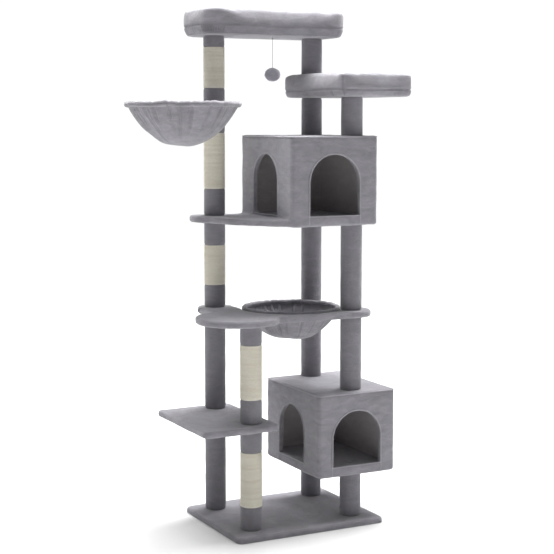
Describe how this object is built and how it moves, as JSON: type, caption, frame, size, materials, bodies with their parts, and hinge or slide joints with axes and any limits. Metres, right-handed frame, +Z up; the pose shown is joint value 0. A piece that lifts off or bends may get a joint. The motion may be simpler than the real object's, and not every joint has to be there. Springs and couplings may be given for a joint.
{
  "type": "cat tree",
  "caption": "Tall plush-covered cat tree: posts with sisal bands, houses with arched doors, hooped basket and hammock, step boards, padded beds with raised rims and a hanging pom-pom.",
  "frame": {"origin": "centre of the base's underside, on the floor", "axes": "+Z up, +X to the right and +Y to the back, seen from the side with both house doors in front"},
  "size_m": [1.0329, 0.584, 1.912],
  "materials": {
    "plush": "short-pile polyester plush, matte",
    "bowl_plush": "short-pile plush, gathered",
    "sisal": "twisted sisal rope wound close",
    "card_tube": "spiral-wound kraft tube",
    "hoop_steel": "grey powder coat",
    "zinc_steel": "bright zinc plate",
    "plug_plastic": "moulded, matte",
    "string": "twisted cotton",
    "pompom": "clipped yarn and plush",
    "board": "raw chipboard"
  },
  "bodies": {
    "root": {"base_board": "board", "base_bolts": "zinc_steel", "base_cover": "plush", "basket_fabric": "bowl_plush", "basket_hoop": "hoop_steel", "basket_strap": "hoop_steel", "bed_board": "board", "bed_cushion": "plush", "end_plugs": "plug_plastic", "hammock_fabric": "bowl_plush", "hammock_hoop": "hoop_steel", "hammock_strap": "hoop_steel", "house_bolts": "zinc_steel", "joint_studs": "zinc_steel", "lounge_board": "board", "lounge_board_cover": "plush", "lower_house_back": "board", "lower_house_cover": "plush", "lower_house_floor": "board", "lower_house_floor_cover": "plush", "lower_house_front": "board", "lower_house_left": "board", "lower_house_right": "board", "lower_house_roof": "board", "perch_board": "board", "perch_cushion": "plush", "plush_back_left_posts": "plush", "plush_back_right_posts": "plush", "plush_front_left_posts": "plush", "plush_front_right_posts": "plush", "post_back_left_1": "card_tube", "post_back_left_2": "card_tube", "post_back_left_3": "card_tube", "post_back_left_4": "card_tube", "post_back_left_5": "card_tube", "post_back_right_2": "card_tube", "post_back_right_3": "card_tube", "post_back_right_5": "card_tube", "post_front_left_1": "card_tube", "post_front_left_2": "card_tube", "post_front_right_2": "card_tube", "post_front_right_3": "card_tube", "posts_under_lower_house": "card_tube", "posts_under_perch": "card_tube", "sisal_bands": "sisal", "step_board": "board", "step_board_cover": "plush", "toy_eye": "zinc_steel", "upper_house_back": "board", "upper_house_cover": "plush", "upper_house_floor": "board", "upper_house_floor_cover": "plush", "upper_house_front": "board", "upper_house_left": "board", "upper_house_right": "board", "upper_house_roof": "board"},
    "toy_swing": {"toy_knot": "string"},
    "toy": {"toy_string": "string", "toy_pompom": "pompom"}
  },
  "joints": [
    {"name": "toy_side_swing", "type": "hinge", "parent": "root", "child": "toy_swing", "pos_m": [-0.014, 0.06, 1.804], "axis": [0, 1, 0], "range_deg": [-60, 60]},
    {"name": "toy_front_swing", "type": "hinge", "parent": "toy_swing", "child": "toy", "pos_m": [-0.014, 0.06, 1.804], "axis": [1, 0, 0], "range_deg": [-60, 60]}
  ]
}
